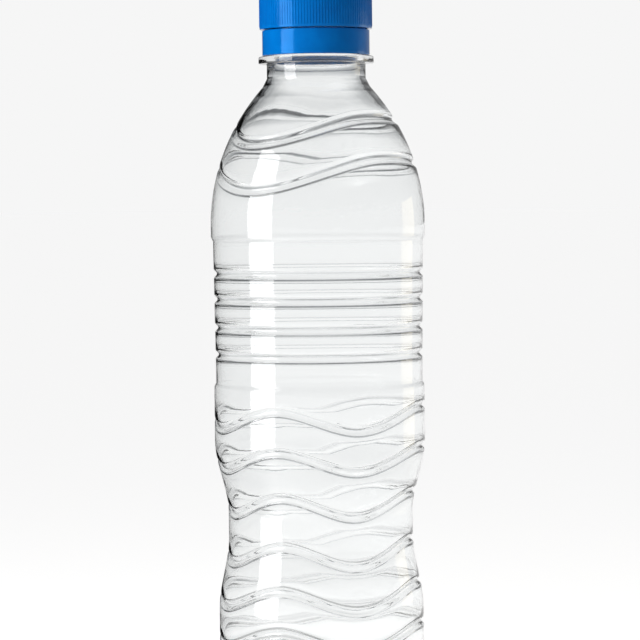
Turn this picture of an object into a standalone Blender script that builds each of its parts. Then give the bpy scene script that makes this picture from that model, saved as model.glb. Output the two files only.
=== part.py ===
"""A clear blow-moulded drinking-water bottle with its blue screw cap and tamper band.

The bottle stands on its base ring at z = 0 with its axis on Z. All sizes are in metres.
Angles go round from the front, which is -Y, towards +X.
"""

import math
from collections import namedtuple

import bpy

# The body, from the base up
BODY_RADIUS = 0.0315
LOWER_BODY_RADIUS = 0.0310
WAIST_RADIUS = 0.0272
FOOT_RADIUS = 0.0302
WALL = 0.00035
HEEL_HEIGHT = 0.0065
STANDING_RING_RADIUS = 0.0225
STANDING_RING_WIDTH = 0.0030
PUSH_UP = 0.0045
WAIST_BOTTOM_Z = 0.0585
WAIST_TOP_Z = 0.0660
WAIST_FLARE = 0.0210
PANEL_BOTTOM_Z = 0.1045
PANEL_TOP_Z = 0.1455
PANEL_RECESS = 0.0006
PANEL_STEP = 0.0008
SHOULDER_Z = 0.1500

# The neck, its carrying ring and the finish that the cap grips. Each reach is outwards from the finish
FINISH_RADIUS = 0.01385
FINISH_WALL = 0.0014
THREAD_CREST = 0.0009
NECK_REACH = 0.00065
NECK_RADIUS = FINISH_RADIUS + NECK_REACH
NECK_Z = 0.1920
NECK_HEIGHT = 0.0056
NECK_FILLET = 0.0004
NECK_LOWER_WALL = 0.0009
RING_Z = NECK_Z + NECK_HEIGHT
RING_REACH = 0.00305
RING_RADIUS = FINISH_RADIUS + RING_REACH
RING_THICKNESS = 0.0020
BORE_RADIUS = FINISH_RADIUS - FINISH_WALL
BEAD_REACH = 0.00105
BEAD_RADIUS = FINISH_RADIUS + BEAD_REACH
BEAD_ABOVE_RING = 0.0034
BEAD_HEIGHT = 0.0016
FINISH_HEIGHT = 0.0208
LIP_Z = RING_Z + FINISH_HEIGHT
LIP_CHAMFER = 0.0004

# The cap and the band under it
CLEARANCE = 0.0003
CAP_INSIDE_RADIUS = FINISH_RADIUS + THREAD_CREST + CLEARANCE
CAP_WALL = 0.00155
CAP_RADIUS = CAP_INSIDE_RADIUS + CAP_WALL
CAP_TOP_THICKNESS = 0.0014
CAP_EDGE = 0.0013
RIB_COUNT = 36
RIB_DEPTH = 0.00035
PLUG_WALL = 0.0008
PLUG_DEPTH = 0.0025
BAND_INSIDE_RADIUS = BEAD_RADIUS + CLEARANCE
BAND_WALL = 0.00075
BAND_RADIUS = BAND_INSIDE_RADIUS + BAND_WALL
BAND_HEIGHT = 0.0074
BAND_LIP_HEIGHT = 0.0020
BAND_LIP_REACH = 0.0007

# The mesh
SEGMENTS = 36
ROW_STEP = 0.0050
HEEL_ROWS = 4
SHARP_ANGLE = math.radians(40)

# A groove that runs round the wall. Its height passes through `turns`, which are angles in degrees and how
# many `swing` it lies above or below its middle there. `lean` lifts it at the back and lowers it at the front.
Groove = namedtuple("Groove", "height swing turns lean width depth")

RIB_WIDTH = 0.0040
RIB_GROOVE_DEPTH = 0.0009
RIBS_ABOVE_PANEL_BOTTOM = (0.0081, 0.0160, 0.0243, 0.0318)

# Each wave has its crests and troughs close together at the front and wide apart at the back,
# and its own dip there
WAVE_WIDTH = 0.0040
WAVE_DEPTH = 0.0009
WAVE_SWING = 0.0029
WAVE_HEIGHTS = (0.0307, 0.0425, 0.0551, 0.0693, 0.0826, 0.0944)
WAVE_BACK_DIPS = (0.6, 0.5, 1.2, 1.9, 1.9, 1.5)

SHOULDER_WAVE_WIDTH = 0.0046
SHOULDER_WAVE_DEPTH = 0.00095
LOW_SHOULDER_WAVE = Groove(
    SHOULDER_Z + 0.0174,
    0.0036,
    ((-42, -1.35), (38, 1.1), (142, -0.75), (236, 0.95)),
    0.0026,
    SHOULDER_WAVE_WIDTH,
    SHOULDER_WAVE_DEPTH,
)
HIGH_SHOULDER_WAVE = Groove(
    SHOULDER_Z + 0.0303,
    0.0033,
    ((-48, -1.25), (34, 1.0), (142, -0.65), (232, 0.9)),
    0.0032,
    SHOULDER_WAVE_WIDTH,
    SHOULDER_WAVE_DEPTH,
)


def wave_turns(dip):
    """The crests and troughs of a body wave, from the trough at the front's left, round to the back."""
    return ((-68.5, -1.0), (-23.5, 1.0), (21.5, -1.0), (70, 1.0), (145, 0.9), (208, -dip), (252, 0.4))


GROOVES = (
    *(
        Groove(height, WAVE_SWING, wave_turns(dip), 0.0, WAVE_WIDTH, WAVE_DEPTH)
        for height, dip in zip(WAVE_HEIGHTS, WAVE_BACK_DIPS)
    ),
    *(Groove(PANEL_BOTTOM_Z + up, 0.0, (), 0.0, RIB_WIDTH, RIB_GROOVE_DEPTH) for up in RIBS_ABOVE_PANEL_BOTTOM),
    LOW_SHOULDER_WAVE,
    HIGH_SHOULDER_WAVE,
)


def eased(share):
    """A smooth step from 0 to 1 as share goes from 0 to 1."""
    share = min(max(share, 0.0), 1.0)
    return share * share * (3 - 2 * share)


def soft_greater(first, second, rounding):
    """The greater of two values, with the corner between them rounded."""
    return (first + second) / 2 + math.hypot((first - second) / 2, rounding)


def shoulder_radius(z):
    """The shoulder is one arc, upright where it leaves the body, that ends at the neck."""
    rise = NECK_Z - SHOULDER_Z
    inset = BODY_RADIUS - NECK_RADIUS
    arc = (rise**2 + inset**2) / (2 * inset)
    above = min(max(z - SHOULDER_Z, 0.0), arc)
    return BODY_RADIUS - arc + math.sqrt(arc**2 - above**2)


def panel_recess(z):
    """How far the label panel stands back from the body at this height."""
    inside = eased((z - PANEL_BOTTOM_Z) / PANEL_STEP + 1) * eased((PANEL_TOP_Z - z) / PANEL_STEP + 1)
    return PANEL_RECESS * inside


def plain_radius(z):
    """The outer radius of the wall at a height, without its grooves."""
    if z < WAIST_BOTTOM_Z:
        return WAIST_RADIUS + (FOOT_RADIUS - WAIST_RADIUS) * eased((WAIST_BOTTOM_Z - z) / WAIST_FLARE)
    if z < PANEL_BOTTOM_Z - PANEL_STEP:
        return WAIST_RADIUS + (LOWER_BODY_RADIUS - WAIST_RADIUS) * eased((z - WAIST_TOP_Z) / WAIST_FLARE)
    if z < PANEL_TOP_Z + PANEL_STEP:
        up = (z - PANEL_BOTTOM_Z) / (PANEL_TOP_Z - PANEL_BOTTOM_Z)
        taper = LOWER_BODY_RADIUS + (BODY_RADIUS - LOWER_BODY_RADIUS) * min(max(up, 0.0), 1.0)
        return taper - panel_recess(z)
    return soft_greater(shoulder_radius(z), NECK_RADIUS, NECK_FILLET)


def level_through(turns, angle):
    """The level at an angle of a smooth closed wave that turns at the given crests and troughs."""
    start, first_level = turns[0]
    degrees = (math.degrees(angle) - start) % 360 + start
    closed = (*turns, (start + 360, first_level))
    for (before, low), (after, high) in zip(closed, closed[1:]):
        if degrees <= after:
            return low + (high - low) * eased((degrees - before) / (after - before))
    return first_level


def groove_height(groove, angle):
    """The height of a groove's centre line at an angle round the bottle."""
    swing = groove.swing * level_through(groove.turns, angle) if groove.turns else 0.0
    return groove.height + swing - groove.lean * math.cos(angle)


def angles(segments):
    return [math.tau * step / segments for step in range(segments)]


def level_row(z, radius, segments=SEGMENTS):
    """A flat ring of (radius, z) pairs."""
    return [(radius, z)] * segments


def wall_lines():
    """The rows of the grooved wall, bottom to top: a list of heights round the bottle, and a depth, for each."""
    fixed = (HEEL_HEIGHT, PANEL_BOTTOM_Z - PANEL_STEP, PANEL_BOTTOM_Z, PANEL_TOP_Z, PANEL_TOP_Z + PANEL_STEP)
    lines = [(z, [z] * SEGMENTS, 0.0) for z in (*fixed, SHOULDER_Z, NECK_Z - NECK_FILLET * 3)]
    for groove in GROOVES:
        centre = [groove_height(groove, angle) for angle in angles(SEGMENTS)]
        for across, depth in ((-0.5, 0.0), (0.0, groove.depth), (0.5, 0.0)):
            shift = across * groove.width
            lines.append((groove.height + shift, [z + shift for z in centre], depth))
    return [(heights, depth) for _, heights, depth in sorted(lines, key=lambda line: line[0])]


def wall_rows():
    """The outer rows of the wall from the heel to the neck, with rows between its lines where they lie far apart."""
    rows = []
    last = None
    for heights, depth in wall_lines():
        if last:
            gap = sum(heights) / SEGMENTS - sum(last) / SEGMENTS
            count = math.ceil(gap / ROW_STEP)
            for step in range(1, count):
                share = step / count
                between = [low + (high - low) * share for low, high in zip(last, heights)]
                rows.append([(plain_radius(z), z) for z in between])
        rows.append([(plain_radius(z) - depth, z) for z in heights])
        last = heights
    return rows


def base_rows():
    """The outer rows of the base: the pushed-up middle, the flat standing ring and the rounded heel."""
    inside = STANDING_RING_RADIUS - STANDING_RING_WIDTH / 2
    outside = STANDING_RING_RADIUS + STANDING_RING_WIDTH / 2
    rows = [
        level_row(PUSH_UP * (1 + math.cos(math.pi * share)) / 2, inside * share)
        for share in (0.3, 0.6, 0.85)
    ]
    rows += [level_row(0.0, inside), level_row(0.0, outside)]
    for step in range(1, HEEL_ROWS):
        turn = math.pi / 2 * step / HEEL_ROWS
        radius = outside + (FOOT_RADIUS - outside) * math.sin(turn)
        rows.append(level_row(HEEL_HEIGHT * (1 - math.cos(turn)), radius))
    return rows


def inner_rows(outer):
    """Rows that lie one wall thickness inside the given ones, square to the surface."""
    rows = []
    for index, row in enumerate(outer):
        below = outer[max(index - 1, 0)]
        above = outer[min(index + 1, len(outer) - 1)]
        inner = []
        for place, (radius, z) in enumerate(row):
            along_r = above[place][0] - below[place][0]
            along_z = above[place][1] - below[place][1]
            length = math.hypot(along_r, along_z)
            inner.append((radius - WALL * along_z / length, z + WALL * along_r / length))
        rows.append(inner)
    return rows


def finish_rows():
    """The neck from the shoulder up to the lip, then down the bore to the shoulder again."""
    ring_top = RING_Z + RING_THICKNESS
    bead_z = ring_top + BEAD_ABOVE_RING
    profile = (
        (NECK_RADIUS, NECK_Z + NECK_FILLET * 3),
        (NECK_RADIUS, RING_Z),
        (RING_RADIUS, RING_Z + RING_THICKNESS * 0.35),
        (RING_RADIUS, ring_top - RING_THICKNESS * 0.2),
        (RING_RADIUS - RING_THICKNESS * 0.2, ring_top),
        (FINISH_RADIUS, ring_top),
        (FINISH_RADIUS, bead_z),
        (BEAD_RADIUS, bead_z),
        (BEAD_RADIUS, bead_z + BEAD_HEIGHT * 0.4),
        (FINISH_RADIUS, bead_z + BEAD_HEIGHT),
        (FINISH_RADIUS, LIP_Z - LIP_CHAMFER),
        (FINISH_RADIUS - LIP_CHAMFER, LIP_Z),
        (BORE_RADIUS + LIP_CHAMFER, LIP_Z),
        (BORE_RADIUS, LIP_Z - LIP_CHAMFER),
        (BORE_RADIUS, RING_Z),
        (NECK_RADIUS - NECK_LOWER_WALL, NECK_Z + NECK_FILLET * 3),
    )
    return [level_row(z, radius) for radius, z in profile]


def skin(name, rows, centres, origin_z=0.0):
    """A mesh object that joins the rows of (radius, z) into a closed surface.

    With two centre heights the first and last rows are closed by fans round the axis.
    Without them the last row joins the first, as on a ring. The rows run up the outside of the piece.
    """
    points = []
    for row in rows:
        for angle, (radius, z) in zip(angles(len(row)), row):
            points.append((radius * math.sin(angle), -radius * math.cos(angle), z - origin_z))
    count = len(rows[0])
    faces = []
    pairs = [(index, index + 1) for index in range(len(rows) - 1)]
    if not centres:
        pairs.append((len(rows) - 1, 0))
    for lower, upper in pairs:
        for step in range(count):
            after = (step + 1) % count
            faces.append(
                (lower * count + step, lower * count + after, upper * count + after, upper * count + step)
            )
    if centres:
        first, last = len(points), len(points) + 1
        points += [(0.0, 0.0, z - origin_z) for z in centres]
        top = (len(rows) - 1) * count
        for step in range(count):
            after = (step + 1) % count
            faces.append((after, step, first))
            faces.append((top + step, top + after, last))
    mesh = bpy.data.meshes.new(name)
    mesh.from_pydata(points, [], faces)
    mesh.shade_smooth()
    mesh.set_sharp_from_angle(angle=SHARP_ANGLE)
    piece = bpy.data.objects.new(name, mesh)
    piece.location.z = origin_z
    bpy.context.scene.collection.objects.link(piece)
    return piece


def material(name, colour, roughness, transmission=0.0, ior=1.5):
    """A plain surface: its colour, roughness and how clear it is."""
    made = bpy.data.materials.new(name)
    made.use_nodes = True
    surface = made.node_tree.nodes["Principled BSDF"]
    surface.inputs["Base Color"].default_value = (*colour, 1.0)
    surface.inputs["Metallic"].default_value = 0.0
    surface.inputs["Roughness"].default_value = roughness
    surface.inputs["Transmission Weight"].default_value = transmission
    surface.inputs["IOR"].default_value = ior
    return made


def build_bottle():
    """The bottle is one hollow piece, open at its mouth."""
    outer = base_rows() + wall_rows()
    rows = outer + finish_rows() + inner_rows(outer)[::-1]
    bottle = skin("bottle", rows, (PUSH_UP, PUSH_UP + WALL))
    bottle.data.materials.append(material("clear_pet", (0.93, 0.95, 0.95), 0.04, 1.0, 1.575))
    return bottle


def band_bottom():
    return RING_Z + RING_THICKNESS + CLEARANCE


def cap_bottom():
    return band_bottom() + BAND_HEIGHT + CLEARANCE


def build_tamper_band():
    """The ring that stays on the neck: its inner lip is caught under the neck's bead."""
    low = band_bottom()
    high = low + BAND_HEIGHT
    bead_z = RING_Z + RING_THICKNESS + BEAD_ABOVE_RING
    wide = BAND_INSIDE_RADIUS
    narrow = BEAD_RADIUS - BAND_LIP_REACH
    lip_top = min(low + BAND_LIP_HEIGHT, bead_z - CLEARANCE)
    edge = BAND_WALL / 3
    profile = (
        (BAND_RADIUS - edge, low),
        (BAND_RADIUS, low + edge),
        (BAND_RADIUS, high - edge),
        (BAND_RADIUS - edge, high),
        (wide, high),
        (wide, bead_z - CLEARANCE),
        (narrow, lip_top),
        (narrow + edge, low),
    )
    band = skin("tamper_band", [level_row(z, radius) for radius, z in profile], None, low)
    band.data.materials.append(blue)
    return band


def build_cap():
    """The cap: a ribbed grip, a flat top with a rounded edge, and a plug that seals in the bore."""
    low = cap_bottom()
    under = LIP_Z + CLEARANCE
    top = under + CAP_TOP_THICKNESS
    inside = CAP_INSIDE_RADIUS
    plug = BORE_RADIUS - CLEARANCE
    plug_end = under - PLUG_DEPTH
    root = CAP_RADIUS - RIB_DEPTH
    segments = RIB_COUNT * 2
    # The last value is how deep the hollows between the ribs are in that row
    profile = (
        (root, low, 0.0),
        (CAP_RADIUS, low + RIB_DEPTH, RIB_DEPTH),
        (CAP_RADIUS, top - CAP_EDGE * 1.4, RIB_DEPTH),
        (root - CAP_EDGE * 0.15, top - CAP_EDGE * 0.6, 0.0),
        (root - CAP_EDGE * 0.6, top - CAP_EDGE * 0.15, 0.0),
        (root - CAP_EDGE * 1.4, top, 0.0),
    )
    hollow = (
        (plug - PLUG_WALL, under, 0.0),
        (plug - PLUG_WALL, plug_end, 0.0),
        (plug - PLUG_WALL / 3, plug_end, 0.0),
        (plug, plug_end + PLUG_WALL / 3, 0.0),
        (plug, under, 0.0),
        (inside - CLEARANCE, under, 0.0),
        (inside, under - CLEARANCE, 0.0),
        (inside, low + RIB_DEPTH, 0.0),
        (inside + RIB_DEPTH, low, 0.0),
    )
    rows = [
        [(radius - groove * (step % 2), z) for step in range(segments)]
        for radius, z, groove in (*hollow, *profile)
    ]
    cap = skin("cap", rows, (under, top), low)
    cap.data.materials.append(blue)
    return cap


for old in list(bpy.data.objects):
    bpy.data.objects.remove(old, do_unlink=True)

blue = material("blue_polyethylene", (0.0, 0.125, 0.47), 0.32)
build_bottle()
build_tamper_band()
build_cap()
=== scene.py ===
"""The looks of a clear PET water bottle with a blue screw cap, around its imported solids.

The bottle wall is rebuilt finely by the rule of its solids, and the cap and band get their moulded detail.
Sizes are in metres. Angles go round from the front, which is -Y, towards +X.
"""

import logging
import math
from dataclasses import dataclass, field
from enum import Enum

import bpy
import numpy as np
from mathutils import Matrix, Vector

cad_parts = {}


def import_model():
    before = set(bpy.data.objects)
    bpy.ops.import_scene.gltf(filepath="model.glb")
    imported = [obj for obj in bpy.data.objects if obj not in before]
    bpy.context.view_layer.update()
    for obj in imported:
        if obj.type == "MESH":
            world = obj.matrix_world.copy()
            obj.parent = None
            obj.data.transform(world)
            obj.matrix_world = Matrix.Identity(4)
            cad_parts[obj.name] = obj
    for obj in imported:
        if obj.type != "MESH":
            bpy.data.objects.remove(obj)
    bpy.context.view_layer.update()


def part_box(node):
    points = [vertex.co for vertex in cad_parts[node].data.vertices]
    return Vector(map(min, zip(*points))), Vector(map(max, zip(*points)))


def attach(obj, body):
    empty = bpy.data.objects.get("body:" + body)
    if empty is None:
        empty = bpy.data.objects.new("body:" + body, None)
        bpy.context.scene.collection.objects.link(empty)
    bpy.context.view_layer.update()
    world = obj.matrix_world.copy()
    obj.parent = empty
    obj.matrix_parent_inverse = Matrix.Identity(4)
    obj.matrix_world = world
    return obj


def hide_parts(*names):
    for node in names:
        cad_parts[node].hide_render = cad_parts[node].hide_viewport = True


LOG = logging.getLogger("bottle")
MM = 0.001
PICTURE = 640
SHARP_ANGLE = math.radians(50)

Pair = tuple[float, float]
Row = tuple[np.ndarray, np.ndarray]
Turns = tuple[Pair, ...]
Stops = tuple[tuple[float, str], ...]


class Close(Enum):
    """How the first and last rows of a skin are closed."""

    CENTRES = "a fan round the axis at each end"
    LOOP = "the last row joins the first"


class Ray(Enum):
    """The kinds of ray that see the pale studio instead of its light."""

    CAMERA = "Is Camera Ray"
    GLOSSY = "Is Glossy Ray"
    TRANSMISSION = "Is Transmission Ray"


def linear(colour: str) -> tuple[float, float, float, float]:
    """Turn an sRGB hex colour into Blender's linear colour.

    Args:
        colour: Six hex digits, with or without a leading hash.

    Returns:
        Linear red, green and blue, and an alpha of 1.
    """
    digits = colour.lstrip("#")
    values = [int(digits[place : place + 2], 16) / 255 for place in (0, 2, 4)]
    red, green, blue = (v / 12.92 if v <= 0.04045 else ((v + 0.055) / 1.055) ** 2.4 for v in values)
    return red, green, blue, 1.0


def add_node(
    tree: bpy.types.NodeTree, kind: str, settings: dict | None = None, **inputs: object
) -> bpy.types.Node:
    """Add a node with its settings, input values and links.

    Args:
        tree: The node tree that gets the node.
        kind: The node's type name.
        settings: Attributes of the node, such as operation.
        **inputs: Input names, with spaces as underscores, or i0, i1 for an index. Each holds a socket to
            link from or a value to set.

    Returns:
        The new node.
    """
    node = tree.nodes.new(kind)
    for name, value in (settings or {}).items():
        setattr(node, name, value)
    for name, value in inputs.items():
        by_index = name[0] == "i" and name[1:].isdigit()
        socket = node.inputs[int(name[1:]) if by_index else name.replace("_", " ")]
        if isinstance(value, bpy.types.NodeSocket):
            tree.links.new(value, socket)
        else:
            socket.default_value = value
    return node


def eased(share: np.ndarray) -> np.ndarray:
    """A smooth step from 0 to 1 as share goes from 0 to 1."""
    share = np.clip(share, 0.0, 1.0)
    return share * share * (3 - 2 * share)


def ring_angles(segments: int) -> np.ndarray:
    """The angle of each point of a ring."""
    return np.arange(segments) * (math.tau / segments)


def skin(name: str, rows: list[Row], close: Close, centres: Pair = (0.0, 0.0)) -> bpy.types.Object:
    """Join rows of points round the axis into a closed mesh object.

    Args:
        name: The object's name.
        rows: Radii and heights of each row, up the outside of the piece and down its inside.
        close: How the ends are closed.
        centres: The heights of the two end points on the axis.

    Returns:
        The object, linked to the scene.
    """
    count = len(rows[0][0])
    turn = ring_angles(count)
    around, across = np.sin(turn), -np.cos(turn)
    points = np.concatenate([np.stack([r * around, r * across, z], axis=1) for r, z in rows])
    step = np.arange(count)
    after = (step + 1) % count
    lower = np.arange(len(rows) - 1)[:, None] * count
    quads = np.stack([lower + step, lower + after, lower + count + after, lower + count + step], axis=-1)
    faces = quads.reshape(-1, 4).tolist()
    top = (len(rows) - 1) * count
    if close is Close.LOOP:
        faces += np.stack([top + step, top + after, after, step], axis=-1).tolist()
    else:
        first, last = len(points), len(points) + 1
        points = np.concatenate([points, [(0.0, 0.0, z) for z in centres]])
        faces += np.stack([after, step, np.full(count, first)], axis=-1).tolist()
        faces += np.stack([top + step, top + after, np.full(count, last)], axis=-1).tolist()
    return mesh_object(name, points.tolist(), faces)


def mesh_object(name: str, points: list, faces: list) -> bpy.types.Object:
    """A smooth-shaded mesh object at the origin, linked to the scene."""
    mesh = bpy.data.meshes.new(name)
    mesh.from_pydata(points, [], faces)
    mesh.shade_smooth()
    mesh.set_sharp_from_angle(angle=SHARP_ANGLE)
    piece = bpy.data.objects.new(name, mesh)
    bpy.context.scene.collection.objects.link(piece)
    return piece


def turned(profile: list[Pair], segments: int) -> list[Row]:
    """Level rows from a profile of (radius, height) points."""
    return [(np.full(segments, radius), np.full(segments, z)) for radius, z in profile]


def arc(centre: Pair, radii: Pair, start: float, end: float, steps: int) -> list[Pair]:
    """Points of (radius, height) along an elliptical arc.

    Args:
        centre: The arc's centre.
        radii: Its half-width outwards and its half-height.
        start: The first angle in degrees, from outwards towards up.
        end: The last angle.
        steps: How many pieces the arc is cut into.

    Returns:
        The points, with both ends.
    """
    turns = [math.radians(start + (end - start) * step / steps) for step in range(steps + 1)]
    return [(centre[0] + radii[0] * math.cos(t), centre[1] + radii[1] * math.sin(t)) for t in turns]


@dataclass(frozen=True)
class ClearPet:
    """Stretch-blown PET: a thin glossy clear wall, a little wavy where it cooled against the mould."""

    tint: str = "#FDFEFE"
    ior: float = 1.575
    smoothest: float = 0.015
    roughest: float = 0.045
    ripple: float = 7 * MM
    ripple_height: float = 0.05 * MM
    # The mould's real tooth is finer than a pixel, so its grain is drawn coarser
    grain: float = 1.4 * MM
    grain_height: float = 0.0015 * MM

    def build(self) -> bpy.types.Material:
        """Make the material.

        Returns:
            Clear PET: a broad ripple bends what shows through it, and a fine grain breaks its shine.
        """
        material = bpy.data.materials.new("pet_blown_clear")
        material.use_nodes = True
        tree = material.node_tree
        surface = tree.nodes["Principled BSDF"]
        surface.inputs["Base Color"].default_value = linear(self.tint)
        surface.inputs["Transmission Weight"].default_value = 1.0
        surface.inputs["IOR"].default_value = self.ior
        place = add_node(tree, "ShaderNodeTexCoord").outputs["Object"]
        broad = add_node(tree, "ShaderNodeTexNoise", Vector=place, Scale=1 / self.ripple, Detail=2.0)
        fine = add_node(tree, "ShaderNodeTexNoise", Vector=place, Scale=1 / self.grain, Detail=3.0)
        low = add_node(
            tree, "ShaderNodeBump", Height=broad.outputs["Fac"], Distance=self.ripple_height, Strength=1.0
        )
        high = add_node(
            tree, "ShaderNodeBump", Height=fine.outputs["Fac"], Distance=self.grain_height, Strength=1.0,
            Normal=low.outputs["Normal"],
        )
        tree.links.new(high.outputs["Normal"], surface.inputs["Normal"])
        rough = add_node(
            tree, "ShaderNodeMapRange", i0=broad.outputs["Fac"], i3=self.smoothest, i4=self.roughest
        )
        tree.links.new(rough.outputs["Result"], surface.inputs["Roughness"])
        return material


@dataclass(frozen=True)
class BluePolyethylene:
    """Moulded high-density polyethylene: a waxy satin skin, with flow marks where the melt ran."""

    colour: str = "#0060B2"
    pale: str = "#0076CC"
    shine: str = "#58B4FF"
    ior: float = 1.54
    smoothest: float = 0.096
    roughest: float = 0.15
    flow: float = 5 * MM
    # The mould's real tooth is finer than a pixel, so its grain is drawn coarser
    grain: float = 0.35 * MM
    grain_height: float = 0.006 * MM
    grain_strength: float = 0.6

    def build(self) -> bpy.types.Material:
        """Make the material.

        Returns:
            Blue polyethylene, paler in broad flow marks, with a fine tooth from the mould.
        """
        material = bpy.data.materials.new("hdpe_moulded_blue")
        material.use_nodes = True
        tree = material.node_tree
        surface = tree.nodes["Principled BSDF"]
        surface.inputs["IOR"].default_value = self.ior
        surface.inputs["Specular Tint"].default_value = linear(self.shine)
        place = add_node(tree, "ShaderNodeTexCoord").outputs["Object"]
        flow = add_node(tree, "ShaderNodeTexNoise", Vector=place, Scale=1 / self.flow, Detail=4.0)
        tint = add_node(tree, "ShaderNodeMix", {"data_type": "RGBA"}, i0=flow.outputs["Fac"])
        tint.inputs[6].default_value = linear(self.colour)
        tint.inputs[7].default_value = linear(self.pale)
        tree.links.new(tint.outputs[2], surface.inputs["Base Color"])
        grain = add_node(tree, "ShaderNodeTexNoise", Vector=place, Scale=1 / self.grain, Detail=2.0)
        rough = add_node(
            tree, "ShaderNodeMapRange", i0=grain.outputs["Fac"], i3=self.smoothest, i4=self.roughest
        )
        tree.links.new(rough.outputs["Result"], surface.inputs["Roughness"])
        bump = add_node(
            tree, "ShaderNodeBump",
            Height=grain.outputs["Fac"], Distance=self.grain_height, Strength=self.grain_strength,
        )
        tree.links.new(bump.outputs["Normal"], surface.inputs["Normal"])
        return material


def looking_rays(tree: bpy.types.NodeTree) -> bpy.types.NodeSocket:
    """A socket that is 1 on the rays that look at the studio, and 0 on those that carry its light."""
    rays = add_node(tree, "ShaderNodeLightPath")
    looking = rays.outputs[Ray.CAMERA.value]
    for ray in (Ray.GLOSSY, Ray.TRANSMISSION):
        looking = add_node(
            tree, "ShaderNodeMath", {"operation": "MAXIMUM"}, i0=looking, i1=rays.outputs[ray.value]
        ).outputs[0]
    return looking


def mirrored_rays(tree: bpy.types.NodeTree) -> bpy.types.NodeSocket:
    """A socket that is 1 on the rays that a surface mirrors, and 0 on those that look on through a wall."""
    rays = add_node(tree, "ShaderNodeLightPath").outputs
    return add_node(
        tree, "ShaderNodeMath", {"operation": "GREATER_THAN"},
        i0=rays[Ray.GLOSSY.value], i1=rays[Ray.TRANSMISSION.value],
    ).outputs[0]


@dataclass(frozen=True)
class PaintedDarkReflection:
    """A painted dark reflection: a black card behind the bottle on the left that exists only for mirrored
    rays, so only the shine of its wall and of the floor shows it.
    """

    azimuth: float = -118.0
    # Painted dark reflection: the colour that mirrored rays see where the card is; the paper's painted
    # shadow near the foot uses it too
    colour: str = "#1C1C1C"
    from_share: float = 0.45
    to_share: float = 0.72

    def share(self, tree: bpy.types.NodeTree, direction: bpy.types.NodeSocket) -> bpy.types.NodeSocket:
        """How far the painted dark reflection covers a direction from the bottle, on mirrored rays.

        Args:
            tree: The node tree.
            direction: A vector from the bottle, of any length.

        Returns:
            A socket from 0 to 1.
        """
        turn = math.radians(self.azimuth)
        way = add_node(tree, "ShaderNodeVectorMath", {"operation": "NORMALIZE"}, i0=direction)
        facing = add_node(
            tree, "ShaderNodeVectorMath", {"operation": "DOT_PRODUCT"},
            i0=way.outputs[0], i1=(math.sin(turn), -math.cos(turn), 0.0),
        )
        edge = add_node(
            tree, "ShaderNodeMapRange", i0=facing.outputs["Value"], i1=self.from_share, i2=self.to_share
        )
        return add_node(
            tree, "ShaderNodeMath", {"operation": "MULTIPLY"},
            i0=edge.outputs["Result"], i1=mirrored_rays(tree),
        ).outputs[0]


@dataclass(frozen=True)
class StudioPaper:
    """Matt paper that the bottle stands on, lifted to a plain pale ground for the rays that look at it."""

    # The painted dark reflection that the paper shows on mirrored rays
    dark_reflection: PaintedDarkReflection
    colour: str = "#E8E8E8"
    glow: str = "#FFFFFF"
    lift: float = 0.558
    roughness: float = 0.9
    # Painted shadow: the ground near the foot is greyer through the wall, a painted contact shadow, where
    # the grooves' steepest rays see it
    painted_shadow_reach: Pair = (40 * MM, 160 * MM)
    painted_shadow_share: float = 0.5

    def build(self) -> bpy.types.Material:
        """Make the material: lit paper that keeps its shadows, a pale glow for looking rays, and painted
        shade: a contact shadow near the foot seen through the wall and a dark reflection on mirrored rays.
        """
        material = bpy.data.materials.new("paper_matt_pale")
        material.use_nodes = True
        tree = material.node_tree
        surface = tree.nodes["Principled BSDF"]
        surface.inputs["Base Color"].default_value = linear(self.colour)
        surface.inputs["Roughness"].default_value = self.roughness
        surface.inputs["Emission Color"].default_value = linear(self.glow)
        glow = add_node(
            tree, "ShaderNodeMath", {"operation": "MULTIPLY"}, i0=looking_rays(tree), i1=self.lift
        )
        tree.links.new(glow.outputs[0], surface.inputs["Emission Strength"])
        place = add_node(tree, "ShaderNodeTexCoord").outputs["Object"]
        # Painted shade: one dark emission for both the painted dark reflection and the painted shadow near
        # the foot
        painted_shadow_and_reflection = add_node(tree, "ShaderNodeEmission", Color=linear(self.dark_reflection.colour))
        # Painted shadow: how far the ground near the foot is darkened, only on rays through the wall
        away = add_node(tree, "ShaderNodeVectorMath", {"operation": "LENGTH"}, i0=place)
        close = add_node(
            tree, "ShaderNodeMapRange",
            i0=away.outputs["Value"], i1=self.painted_shadow_reach[0], i2=self.painted_shadow_reach[1], i3=self.painted_shadow_share, i4=0.0,
        )
        seen = add_node(tree, "ShaderNodeLightPath").outputs[Ray.TRANSMISSION.value]
        through = add_node(
            tree, "ShaderNodeMath", {"operation": "MULTIPLY"}, i0=close.outputs["Result"], i1=seen
        )
        share = add_node(
            tree, "ShaderNodeMath", {"operation": "MAXIMUM"},
            i0=self.dark_reflection.share(tree, place), i1=through.outputs[0],
        )
        mix = add_node(
            tree, "ShaderNodeMixShader", i0=share.outputs[0], i1=surface.outputs[0], i2=painted_shadow_and_reflection.outputs[0]
        )
        tree.links.new(mix.outputs[0], tree.nodes["Material Output"].inputs["Surface"])
        return material


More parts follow.
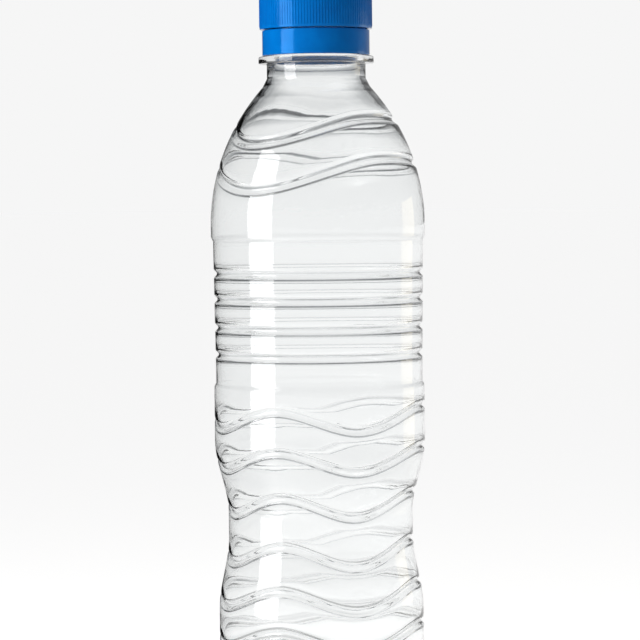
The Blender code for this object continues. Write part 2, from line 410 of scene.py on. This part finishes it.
@dataclass
class Groove:
    """A channel pressed into the wall that runs round the bottle.

    Its height passes through its turns, which are angles in degrees and how many swings it lies above or
    below its middle there. Its lean lifts it at the back and lowers it at the front.
    """

    height: float
    width: float
    depth: float
    swing: float = 0.0
    turns: Turns = ()
    lean: float = 0.0

    def level(self, angle: np.ndarray) -> np.ndarray:
        """The level at each angle of the smooth closed wave that turns at the crests and troughs."""
        level = np.zeros_like(angle)
        if not self.turns:
            return level
        start, first = self.turns[0]
        degrees = (np.degrees(angle) - start) % 360 + start
        closed = (*self.turns, (start + 360, first))
        for (before, low), (after, high) in zip(closed, closed[1:]):
            inside = (degrees >= before) & (degrees <= after)
            share = (degrees[inside] - before) / (after - before)
            level[inside] = low + (high - low) * eased(share)
        return level

    def centre(self, angle: np.ndarray) -> np.ndarray:
        """The height of the centre line at each angle round the bottle."""
        return self.height + self.swing * self.level(angle) - self.lean * np.cos(angle)


@dataclass(frozen=True)
class Thread:
    """A right-hand thread of three starts: it climbs as the angle grows."""

    top: float
    crest: float
    starts: int = 3
    lead: float = 9.0 * MM
    turn: float = 0.62
    half_width: float = 0.9 * MM
    steepness: float = 1.6
    # The share of a turn in which each end runs out
    run_out: float = 0.05

    def ridge(self, z: float, segments: int) -> np.ndarray:
        """How far the thread stands out at one height.

        Args:
            z: The height.
            segments: How many points there are round the axis.

        Returns:
            The height of the thread's ridge at each angle.
        """
        ridge = np.zeros(segments)
        for start in range(self.starts):
            along = (ring_angles(segments) / math.tau - start / self.starts) % 1.0
            centre = self.top - self.lead * self.turn + self.lead * along
            across = np.abs(z - centre) / self.half_width
            ends = eased(along / self.run_out) * eased((self.turn - along) / self.run_out)
            ridge = np.maximum(ridge, self.crest * eased((1 - across) * self.steepness) * ends)
        return ridge


@dataclass
class Wall:
    """The blown bottle, rebuilt finely by the rule that its solid follows."""

    mouth_z: float
    widest: float = 31.5 * MM
    lower_body: float = 31.0 * MM
    waist: float = 27.2 * MM
    foot: float = 30.2 * MM
    thickness: float = 0.35 * MM
    heel: float = 6.5 * MM
    standing_ring: float = 22.5 * MM
    standing_width: float = 3.0 * MM
    push_up: float = 4.5 * MM
    waist_bottom: float = 58.5 * MM
    waist_top: float = 66.0 * MM
    waist_flare: float = 21.0 * MM
    panel_bottom: float = 104.5 * MM
    panel_top: float = 145.5 * MM
    panel_recess: float = 0.6 * MM
    panel_step: float = 1.6 * MM
    shoulder_z: float = 150.0 * MM
    neck: float = 14.5 * MM
    neck_z: float = 192.0 * MM
    neck_fillet: float = 0.4 * MM
    # How far below and above neck_z the shoulder still runs into the neck
    neck_blend: float = 1.2 * MM
    neck_lower_wall: float = 1.5 * MM
    ring_z: float = 197.6 * MM
    ring: float = 16.9 * MM
    ring_thickness: float = 2.0 * MM
    finish: float = 13.85 * MM
    bore: float = 12.45 * MM
    bead: float = 14.9 * MM
    bead_above_ring: float = 3.4 * MM
    bead_height: float = 1.6 * MM
    lip_edge: float = 0.4 * MM
    thread_crest: float = 0.85 * MM
    thread_below_mouth: float = 1.6 * MM
    thread_rows: int = 44
    neck_thickening: float = 0.95 * MM
    thickening_z: float = 172.0 * MM
    segments: int = 128
    row_step: float = 2.4 * MM
    # Where a groove's rows lie, as shares of its half width
    groove_rows: tuple[float, ...] = (0.07, 0.19, 0.3, 0.4, 0.49, 0.58, 0.67, 0.76, 0.85, 0.95)
    # The outer side has a steep edge, which the inner side follows only softly, as in a blown wall
    outer_edge: Pair = (0.06, 0.67)
    inner_edge: Pair = (0.12, 0.95)
    groove_width: float = 4.2 * MM
    groove_depth: float = 0.9 * MM
    wave_swing: float = 2.9 * MM
    rib_heights: tuple[float, ...] = (112.6 * MM, 120.5 * MM, 128.8 * MM, 136.3 * MM)
    wave_heights: tuple[float, ...] = (30.7 * MM, 42.5 * MM, 55.1 * MM, 69.3 * MM, 82.6 * MM, 94.4 * MM)
    wave_back_dips: tuple[float, ...] = (0.6, 0.5, 1.2, 1.9, 1.9, 1.5)
    wave_front_turns: Turns = ((-68.5, -1.0), (-23.5, 1.0), (21.5, -1.0), (70, 1.0))
    shoulder_groove_width: float = 4.8 * MM
    shoulder_groove_depth: float = 0.95 * MM
    low_shoulder_turns: Turns = ((-42, -1.35), (38, 1.1), (142, -0.75), (236, 0.95))
    high_shoulder_turns: Turns = ((-48, -1.25), (34, 1.0), (142, -0.65), (232, 0.9))
    grooves: list[Groove] = field(default_factory=list)

    def __post_init__(self) -> None:
        """Set out the grooves: six waves, four ribs and two leaning shoulder waves."""
        width, depth = self.groove_width, self.groove_depth
        for z, dip in zip(self.wave_heights, self.wave_back_dips):
            turns = self.wave_front_turns + ((145, 0.9), (208, -dip), (252, 0.4))
            self.grooves.append(Groove(z, width, depth, self.wave_swing, turns))
        self.grooves += [Groove(z, width, depth) for z in self.rib_heights]
        width, depth = self.shoulder_groove_width, self.shoulder_groove_depth
        low, high = self.low_shoulder_turns, self.high_shoulder_turns
        self.grooves += [
            Groove(167.4 * MM, width, depth, swing=3.6 * MM, turns=low, lean=2.6 * MM),
            Groove(180.3 * MM, width, depth, swing=3.3 * MM, turns=high, lean=3.2 * MM),
        ]

    def shoulder_radius(self, z: np.ndarray) -> np.ndarray:
        """The radius of the shoulder, one arc that is upright at the body and ends at the neck."""
        rise, inset = self.neck_z - self.shoulder_z, self.widest - self.neck
        radius = (rise**2 + inset**2) / (2 * inset)
        above = np.clip(z - self.shoulder_z, 0.0, radius)
        return self.widest - radius + np.sqrt(radius**2 - above**2)

    def plain_radius(self, z: np.ndarray) -> np.ndarray:
        """The outer radius of the wall at each height, without its grooves."""
        below, above = (self.waist_bottom - z) / self.waist_flare, (z - self.waist_top) / self.waist_flare
        low = self.waist + (self.foot - self.waist) * eased(below)
        middle = self.waist + (self.lower_body - self.waist) * eased(above)
        up = np.clip((z - self.panel_bottom) / (self.panel_top - self.panel_bottom), 0.0, 1.0)
        inside = eased((z - self.panel_bottom) / self.panel_step + 1)
        inside *= eased((self.panel_top - z) / self.panel_step + 1)
        panel = self.lower_body + (self.widest - self.lower_body) * up - self.panel_recess * inside
        shoulder = self.shoulder_radius(z)
        top = (shoulder + self.neck) / 2 + np.hypot((shoulder - self.neck) / 2, self.neck_fillet)
        picked = np.where(z < self.waist_bottom, low, middle)
        picked = np.where(z >= self.panel_bottom - self.panel_step, panel, picked)
        return np.where(z >= self.panel_top + self.panel_step, top, picked)

    def wall_lines(self) -> list[tuple[float, np.ndarray, float, float]]:
        """The rows of the grooved wall.

        Returns:
            For each row a sorting height, its heights round the bottle, and how deep the groove is outside
            and inside.
        """
        turn = ring_angles(self.segments)
        step = self.panel_step
        levels = [self.heel, self.shoulder_z, self.neck_z - self.neck_blend]
        for edge, side in ((self.panel_bottom, -1), (self.panel_top, 1)):
            levels += [edge + side * step * share for share in (0.0, 0.2, 0.4, 0.6, 0.8, 1.0)]
        lines = [(z, np.full(self.segments, z), 0.0, 0.0) for z in levels]
        places = sorted({side * place for place in self.groove_rows for side in (-1, 1)})
        for groove in self.grooves:
            centre = groove.centre(turn)
            for place in places:
                shift = place * groove.width / 2
                outside, inside = (
                    groove.depth * float(eased((end - abs(place)) / (end - start)))
                    for start, end in (self.outer_edge, self.inner_edge)
                )
                lines.append((groove.height + shift, centre + shift, outside, inside))
        return sorted(lines, key=lambda line: line[0])

    def wall_rows(self) -> tuple[list[Row], list[Row]]:
        """The outer and the inner rows of the wall, from the heel to the neck."""
        outer: list[Row] = []
        inner: list[Row] = []
        last = None
        for _, heights, outside, inside in self.wall_lines():
            stops = [(heights, outside, inside)]
            if last is not None:
                count = math.ceil((heights.mean() - last.mean()) / self.row_step)
                between = [last + (heights - last) * (step / count) for step in range(1, count)]
                stops = [(z, 0.0, 0.0) for z in between] + stops
            for z, out_depth, in_depth in stops:
                plain = self.plain_radius(z)
                outer.append((plain - out_depth, z))
                inner.append((plain - self.radial_thickness(z) - in_depth, z))
            last = heights
        return outer, inner

    def radial_thickness(self, z: np.ndarray) -> np.ndarray:
        """The wall's thickness towards the axis: more where the wall leans, and more towards the neck."""
        reach, steepest = 0.2 * MM, 1.2
        slope = (self.plain_radius(z + reach) - self.plain_radius(z - reach)) / (2 * reach)
        towards_neck = (z - self.thickening_z) / (self.neck_z - self.thickening_z)
        thickness = self.thickness + self.neck_thickening * eased(towards_neck)
        return thickness * np.hypot(1.0, np.clip(slope, -steepest, steepest))

    def base_rows(self) -> list[Row]:
        """The outer rows of the base: the push-up, the flat standing ring and the rounded heel."""
        inside = self.standing_ring - self.standing_width / 2
        outside = self.standing_ring + self.standing_width / 2
        shares = np.linspace(0.08, 0.96, 12)
        profile = [(inside * s, self.push_up * (1 + math.cos(math.pi * s)) / 2) for s in shares]
        profile += [(inside, 0.0), (self.standing_ring, 0.0)]
        profile += arc((outside, self.heel), (self.foot - outside, self.heel), -90, 0, 12)[:-1]
        return turned(profile, self.segments)

    def inner_rows(self, outer: list[Row]) -> list[Row]:
        """Rows one wall thickness inside the given ones, square to the surface."""
        rows = []
        for index, (radius, z) in enumerate(outer):
            below, above = outer[max(index - 1, 0)], outer[min(index + 1, len(outer) - 1)]
            along_r, along_z = above[0] - below[0], above[1] - below[1]
            length = np.hypot(along_r, along_z)
            rows.append((radius - self.thickness * along_z / length, z + self.thickness * along_r / length))
        return rows

    def finish_rows(self) -> list[Row]:
        """The neck from the shoulder up to the lip, with its ring, bead and thread, then down the bore."""
        ring_top = self.ring_z + self.ring_thickness
        bead_z = ring_top + self.bead_above_ring
        soft = 0.35 * MM
        neck_foot = self.neck_z + self.neck_blend
        profile = [(self.neck, z) for z in np.linspace(neck_foot, self.ring_z - soft, 8)]
        profile += arc((self.neck + soft, self.ring_z - soft), (-soft, soft), 0, 90, 4)[1:]
        profile += arc((self.ring - soft, self.ring_z + soft), (soft, soft), -90, 0, 4)
        profile += arc((self.ring - soft, ring_top - soft), (soft, soft), 0, 90, 4)
        profile += arc((self.finish + soft, ring_top + soft), (-soft, -soft), 90, 0, 4)
        profile += [(self.finish, bead_z - soft)]
        profile += arc((self.bead - soft, bead_z + soft), (soft, soft), -90, 20, 4)
        profile += [(self.finish, bead_z + self.bead_height)]
        rows = turned(profile, self.segments)
        thread_from, thread_to = bead_z + self.bead_height + soft, self.mouth_z - self.lip_edge
        thread = Thread(top=self.mouth_z - self.thread_below_mouth, crest=self.thread_crest)
        for z in np.linspace(thread_from, thread_to, self.thread_rows):
            rows.append((self.finish + thread.ridge(float(z), self.segments), np.full(self.segments, z)))
        edge = self.lip_edge
        lip = arc((self.finish - edge, self.mouth_z - edge), (edge, edge), 20, 90, 3)
        lip += arc((self.bore + edge, self.mouth_z - edge), (edge, edge), 90, 180, 3)
        lip += [(self.bore, z) for z in np.linspace(self.mouth_z - 1 * MM, ring_top, 8)]
        narrow = self.neck - self.neck_lower_wall - self.bore
        down = ring_top - neck_foot
        shares = np.linspace(0.1, 1.0, 10)
        lip += [(self.bore + narrow * float(eased(s)), ring_top - down * s) for s in shares]
        return rows + turned(lip, self.segments)

    def build(self, material: bpy.types.Material) -> bpy.types.Object:
        """Build the hollow bottle, open at its mouth.

        Args:
            material: The clear PET.

        Returns:
            The bottle as one closed skin round its thin wall.
        """
        base, (outer, inner) = self.base_rows(), self.wall_rows()
        base_inner = self.inner_rows(base + outer[:1])[:-1]
        rows = base + outer + self.finish_rows() + inner[::-1] + base_inner[::-1]
        bottle = skin("bottle_wall", rows, Close.CENTRES, (self.push_up, self.push_up + self.thickness))
        bottle.data.materials.append(material)
        return bottle


@dataclass
class TamperBand:
    """The ring under the cap's slit, caught under the neck's bead.

    Its outside lies a little within its solid's.
    """

    low: float
    high: float
    solid_radius: float
    inset: float = 0.2 * MM
    wide: float = 15.2 * MM
    narrow: float = 14.2 * MM
    catch_z: float = 202.7 * MM
    edge: float = 0.25 * MM
    segments: int = 128

    def build(self, material: bpy.types.Material) -> bpy.types.Object:
        """Build the band.

        Args:
            material: The blue polyethylene.

        Returns:
            The band as a closed ring.
        """
        edge, radius = self.edge, self.solid_radius - self.inset
        profile = arc((radius - edge, self.low + edge), (edge, edge), -90, 0, 4)
        profile += [(radius, z) for z in np.linspace(self.low + 1 * MM, self.high - 1 * MM, 5)]
        profile += arc((radius - edge, self.high - edge), (edge, edge), 0, 90, 4)
        profile += [(self.wide, self.high), (self.wide, self.catch_z)]
        profile += [(self.narrow, self.low + 2 * MM), (self.narrow + edge, self.low)]
        band = skin("tamper_band_shell", turned(profile, self.segments), Close.LOOP)
        band.data.materials.append(material)
        return band


@dataclass
class ScrewCap:
    """The screw cap: its shell, the fine knurl of its grip and the thread inside it."""

    low: float
    top: float
    radius: float
    mouth_z: float
    knurl_count: int = 120
    knurl_depth: float = 0.12 * MM
    edge: float = 1.5 * MM
    inside: float = 15.05 * MM
    plug: float = 12.15 * MM
    plug_wall: float = 0.8 * MM
    plug_depth: float = 2.5 * MM
    plug_tip: float = 0.3 * MM
    above_mouth: float = 0.3 * MM
    small_edge: float = 0.2 * MM
    thread_crest: float = 0.3 * MM
    thread_below_mouth: float = 3.1 * MM
    thread_rows: int = 36
    # How much of its pitch a rib of the knurl covers
    rib_share: float = 0.62
    segments: int = 240

    def shell(self, material: bpy.types.Material) -> bpy.types.Object:
        """The cap without its knurl, closed all round, with its plug.

        Args:
            material: The blue polyethylene.

        Returns:
            The shell.
        """
        under = self.mouth_z + self.above_mouth
        root = self.radius - self.knurl_depth
        plug_end = under - self.plug_depth
        inner = self.plug - self.plug_wall
        small, tip = self.small_edge, (self.plug_wall / 2, self.plug_tip)
        profile = [(inner * share, under) for share in (0.2, 0.5, 0.8, 0.97)]
        profile += [(inner, under - small), (inner, plug_end + small)]
        profile += arc((inner + tip[0], plug_end + tip[1]), tip, 180, 360, 8)
        profile += [(self.plug, under - small), (self.plug + small, under)]
        profile += [(self.inside - 2 * small, under), (self.inside, under - 2 * small)]
        rows = turned(profile, self.segments)
        thread = Thread(top=self.mouth_z - self.thread_below_mouth, crest=self.thread_crest)
        thread_from, thread_to = under - 0.8 * MM, self.low + 0.3 * MM
        for z in np.linspace(thread_from, thread_to, self.thread_rows):
            rows.append((self.inside - thread.ridge(float(z), self.segments), np.full(self.segments, z)))
        profile = [(self.inside + small, self.low)]
        profile += arc((root - small, self.low + small), (small, small), -90, 0, 3)
        profile += [(root, z) for z in np.linspace(self.low + 1 * MM, self.top - self.edge - 0.5 * MM, 8)]
        profile += arc((root - self.edge, self.top - self.edge), (self.edge, self.edge), 0, 90, 10)
        profile += [(root * share, self.top) for share in (0.8, 0.55, 0.3, 0.1)]
        rows += turned(profile, self.segments)
        shell = skin("cap_shell", rows, Close.CENTRES, (under, self.top))
        shell.data.materials.append(material)
        return shell

    def knurl(self, material: bpy.types.Material) -> bpy.types.Object:
        """The grip's ribs: one rib, repeated round the cap by a Geometry Nodes tree.

        Args:
            material: The blue polyethylene.

        Returns:
            All the ribs as one plain mesh.
        """
        low, high = self.low + 0.45 * MM, self.top - self.edge * 0.55
        root = self.radius - self.knurl_depth
        half = math.pi * root / self.knurl_count * self.rib_share
        sink = 0.25 * MM
        outline = [(-half, -sink), (-half * 0.55, self.knurl_depth * 0.8), (0.0, self.knurl_depth)]
        outline += [(half * 0.55, self.knurl_depth * 0.8), (half, -sink)]
        stations = ((low, 0.0), (low + 0.5 * MM, 1.0), (high - 1.3 * MM, 1.0), (high, 0.0))
        points = [
            (x, root + (out * share if out > 0 else out), z) for z, share in stations for x, out in outline
        ]
        wide, last = len(outline), len(points) - len(outline)
        faces = [tuple(range(wide)), tuple(reversed(range(last, len(points))))]
        for row in range(0, last, wide):
            for i in range(wide):
                after = (i + 1) % wide
                faces.append((row + i, row + wide + i, row + wide + after, row + after))
        rib = mesh_object("knurl_rib", points, faces)
        ribs = repeat_round("cap_knurl", rib, self.knurl_count, math.tau, material)
        bpy.data.objects.remove(rib, do_unlink=True)
        return ribs


def repeat_round(
    name: str, source: bpy.types.Object, count: int, turn: float, material: bpy.types.Material
) -> bpy.types.Object:
    """Repeat a mesh round the Z axis with Geometry Nodes and return the result as a plain mesh object.

    Args:
        name: The new object's name.
        source: The piece to repeat, in its first place.
        count: How many copies there are.
        turn: The angle that the copies are spread over.
        material: The finish of the copies.

    Returns:
        A mesh object with no modifier.
    """
    tree = bpy.data.node_groups.new(name + "_tree", "GeometryNodeTree")
    tree.interface.new_socket("Count", in_out="INPUT", socket_type="NodeSocketInt")
    tree.interface.new_socket("Turn", in_out="INPUT", socket_type="NodeSocketFloat")
    tree.interface.new_socket("Piece", in_out="INPUT", socket_type="NodeSocketObject")
    tree.interface.new_socket("Finish", in_out="INPUT", socket_type="NodeSocketMaterial")
    tree.interface.new_socket("Geometry", in_out="OUTPUT", socket_type="NodeSocketGeometry")
    given = add_node(tree, "NodeGroupInput")
    each = add_node(
        tree, "ShaderNodeMath", {"operation": "DIVIDE"},
        i0=given.outputs["Turn"], i1=given.outputs["Count"],
    )
    index = add_node(tree, "GeometryNodeInputIndex")
    angle = add_node(
        tree, "ShaderNodeMath", {"operation": "MULTIPLY"}, i0=index.outputs[0], i1=each.outputs[0]
    )
    rotation = add_node(tree, "ShaderNodeCombineXYZ", Z=angle.outputs[0])
    places = add_node(
        tree, "GeometryNodeMeshLine", {"mode": "OFFSET"}, Count=given.outputs["Count"], Offset=(0, 0, 0)
    )
    piece = add_node(tree, "GeometryNodeObjectInfo", Object=given.outputs["Piece"])
    copies = add_node(
        tree, "GeometryNodeInstanceOnPoints", Points=places.outputs[0], Instance=piece.outputs["Geometry"],
        Rotation=rotation.outputs[0],
    )
    real = add_node(tree, "GeometryNodeRealizeInstances", Geometry=copies.outputs[0])
    finish = add_node(
        tree, "GeometryNodeSetMaterial", Geometry=real.outputs[0], Material=given.outputs["Finish"]
    )
    add_node(tree, "NodeGroupOutput", Geometry=finish.outputs[0])
    holder = bpy.data.objects.new(name + "_holder", bpy.data.meshes.new(name + "_holder"))
    bpy.context.scene.collection.objects.link(holder)
    modifier = holder.modifiers.new("repeat", "NODES")
    modifier.node_group = tree
    values = {"Count": count, "Turn": turn, "Piece": source, "Finish": material}
    for socket in tree.interface.items_tree:
        if socket.in_out == "INPUT":
            modifier[socket.identifier] = values[socket.name]
    bpy.context.view_layer.update()
    evaluated = holder.evaluated_get(bpy.context.evaluated_depsgraph_get())
    mesh = bpy.data.meshes.new_from_object(evaluated)
    holder.modifiers.remove(modifier)
    bpy.data.objects.remove(holder, do_unlink=True)
    mesh.name = name
    result = bpy.data.objects.new(name, mesh)
    bpy.context.scene.collection.objects.link(result)
    return result


def gradient(tree: bpy.types.NodeTree, share: bpy.types.NodeSocket, stops: Stops) -> bpy.types.NodeSocket:
    """A colour that runs through the stops, which are a share from 0 to 1 and an sRGB hex colour each."""
    ramp = add_node(tree, "ShaderNodeValToRGB", Fac=share)
    elements = ramp.color_ramp.elements
    elements[0].color, elements[-1].color = linear(stops[0][1]), linear(stops[-1][1])
    for place, colour in stops[1:-1]:
        elements.new(place).color = linear(colour)
    return ramp.outputs["Color"]


@dataclass(frozen=True)
class Softbox:
    """A soft light that faces the bottle. Its azimuth is in degrees and its power in watts."""

    name: str
    azimuth: float
    distance: float
    height: float
    size: Pair
    power: float
    colour: str = "#FFFFFF"

    def build(self) -> None:
        """Add the light, which the camera doesn't see and no ray sees through the wall."""
        data = bpy.data.lights.new(self.name, "AREA")
        data.shape = "RECTANGLE"
        data.size, data.size_y = self.size
        data.energy = self.power
        data.color = linear(self.colour)[:3]
        light = bpy.data.objects.new(self.name, data)
        # The far wall would mirror each softbox once more, which the photograph doesn't show
        light.visible_transmission = False
        light.visible_camera = False
        turn = math.radians(self.azimuth)
        place = Vector((self.distance * math.sin(turn), -self.distance * math.cos(turn), self.height))
        aim = Vector((0.0, 0.0, self.height))
        facing = (aim - place).to_track_quat("-Z", "Y").to_matrix().to_4x4()
        light.matrix_world = Matrix.Translation(place) @ facing
        bpy.context.scene.collection.objects.link(light)


@dataclass
class Studio:
    """The camera, the pale sweep that the bottle stands on, and the soft lights."""

    distance: float = 0.85
    horizon_row: float = 200.0
    base_row: float = 735.0
    pixels_per_mm: float = 3.394
    roll: float = -0.6
    axis_column: float = 318.8
    sensor: float = 36.0
    clip_start: float = 0.05
    floor_radius: float = 40.0
    floor_steps: int = 96
    ambient: float = 0.45
    ambient_colour: str = "#FFFFFF"
    # The painted dark reflection, seen on mirrored rays in the world and on the paper
    dark_reflection: PaintedDarkReflection = PaintedDarkReflection()
    # Mirrored rays see a dimmer and more even studio than the rays that look on through the wall
    seen_through_the_wall: Stops = (
        (0.0, "#6F7274"), (0.36, "#8A8D8F"), (0.46, "#F6F6F6"), (0.55, "#F6F6F6"), (0.60, "#B8BABC"),
        (0.68, "#6C6E70"), (1.0, "#3A3C3E"),
    )
    seen_in_its_shine: Stops = (
        (0.0, "#A0A0A0"), (0.50, "#A8A8A8"), (0.66, "#ACACAC"), (0.80, "#B8B8B8"), (1.0, "#B8B8B8")
    )
    softboxes: tuple[Softbox, ...] = (
        Softbox(
            "tall_softbox_left", azimuth=-63.0, distance=0.4, height=0.225, size=(0.215, 0.45), power=1.75
        ),
        Softbox(
            "warm_softbox_right", azimuth=112.0, distance=0.5, height=0.12, size=(0.20, 0.20), power=0.15,
            colour="#FFEFC8",
        ),
    )

    def camera(self) -> None:
        """Set the camera by the photograph's frame: its scale, horizon, tilt and centre."""
        middle = PICTURE / 2
        target_z = (self.base_row - middle) / self.pixels_per_mm * MM
        eye_z = (self.base_row - self.horizon_row) / self.pixels_per_mm * MM
        side = (middle - self.axis_column) / self.pixels_per_mm * MM
        width = PICTURE / self.pixels_per_mm * MM
        data = bpy.data.cameras.new("camera")
        data.sensor_width = self.sensor
        reach = math.hypot(self.distance, eye_z - target_z)
        data.lens = self.sensor * reach / width
        data.clip_start = self.clip_start
        camera = bpy.data.objects.new("camera", data)
        eye, target = Vector((side, -self.distance, eye_z)), Vector((side, 0.0, target_z))
        facing = (target - eye).to_track_quat("-Z", "Y").to_matrix().to_4x4()
        tilt = Matrix.Rotation(math.radians(self.roll), 4, "Z")
        camera.matrix_world = Matrix.Translation(eye) @ facing @ tilt
        bpy.context.scene.collection.objects.link(camera)
        bpy.context.scene.camera = camera

    def floor(self) -> None:
        """A wide round sheet of paper under the bottle."""
        paper = StudioPaper(self.dark_reflection).build()
        radius, turns = self.floor_radius, ring_angles(self.floor_steps)
        points = [(radius * math.sin(t), -radius * math.cos(t), 0.0) for t in turns]
        floor = mesh_object("studio_floor", points, [tuple(range(self.floor_steps))])
        floor.data.materials.append(paper)

    def world(self) -> None:
        """Even light from all round, which looking rays see as a studio with a pale horizon."""
        world = bpy.data.worlds.new("studio")
        bpy.context.scene.world = world
        world.use_nodes = True
        tree = world.node_tree
        light = tree.nodes["Background"]
        light.inputs["Color"].default_value = linear(self.ambient_colour)
        light.inputs["Strength"].default_value = self.ambient
        direction = add_node(tree, "ShaderNodeTexCoord").outputs["Generated"]
        up = add_node(tree, "ShaderNodeSeparateXYZ", Vector=direction)
        height = add_node(tree, "ShaderNodeMapRange", i0=up.outputs["Z"], i1=-1.0, i2=1.0).outputs["Result"]
        through = gradient(tree, height, self.seen_through_the_wall)
        mirrored = gradient(tree, height, self.seen_in_its_shine)
        colour = add_node(
            tree, "ShaderNodeMix", {"data_type": "RGBA"}, i0=mirrored_rays(tree), i6=through, i7=mirrored
        )
        # Painted dark reflection: mirrored rays towards the card see its dark colour instead of the studio
        painted_reflection_covered = add_node(
            tree, "ShaderNodeMix", {"data_type": "RGBA"},
            i0=self.dark_reflection.share(tree, direction), i6=colour.outputs[2], i7=linear(self.dark_reflection.colour),
        )
        shown = add_node(tree, "ShaderNodeBackground", Color=painted_reflection_covered.outputs[2], Strength=1.0)
        mix = add_node(
            tree, "ShaderNodeMixShader", i0=looking_rays(tree), i1=light.outputs[0], i2=shown.outputs[0]
        )
        tree.links.new(mix.outputs[0], tree.nodes["World Output"].inputs["Surface"])

    def build(self) -> None:
        """Set up everything that isn't part of the bottle."""
        bpy.context.scene.view_settings.view_transform = "Standard"
        self.camera()
        self.world()
        for softbox in self.softboxes:
            softbox.build()
        self.floor()


def keep(piece: bpy.types.Object, body: str, slot: str, *nodes: str) -> None:
    """Hand a finished piece to the frame.

    Args:
        piece: The piece, in place.
        body: The body that carries it.
        slot: The record's material slot; not used.
        *nodes: The CAD nodes that it stands for.
    """
    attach(piece, body)
    if nodes:
        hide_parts(*nodes)
    LOG.info("%s: %d faces on %s", piece.name, len(piece.data.polygons), body)


def main() -> None:
    """Build the studio and the three sub-assemblies in order."""
    logging.basicConfig(level=logging.INFO, format="%(message)s")
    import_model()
    Studio().build()
    pet, blue = ClearPet().build(), BluePolyethylene().build()

    _, wall_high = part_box("bottle")
    wall = Wall(mouth_z=wall_high.z)
    keep(wall.build(pet), "bottle", "clear_pet", "bottle")

    band_low, band_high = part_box("tamper_band")
    band = TamperBand(low=band_low.z, high=band_high.z, solid_radius=band_high.x)
    keep(band.build(blue), "tamper_band", "blue_polyethylene", "tamper_band")

    cap_low, cap_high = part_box("cap")
    cap = ScrewCap(low=cap_low.z, top=cap_high.z, radius=cap_high.x, mouth_z=wall_high.z)
    keep(cap.shell(blue), "cap", "blue_polyethylene", "cap")
    keep(cap.knurl(blue), "cap", "blue_polyethylene")


if __name__ == "__main__":
    main()
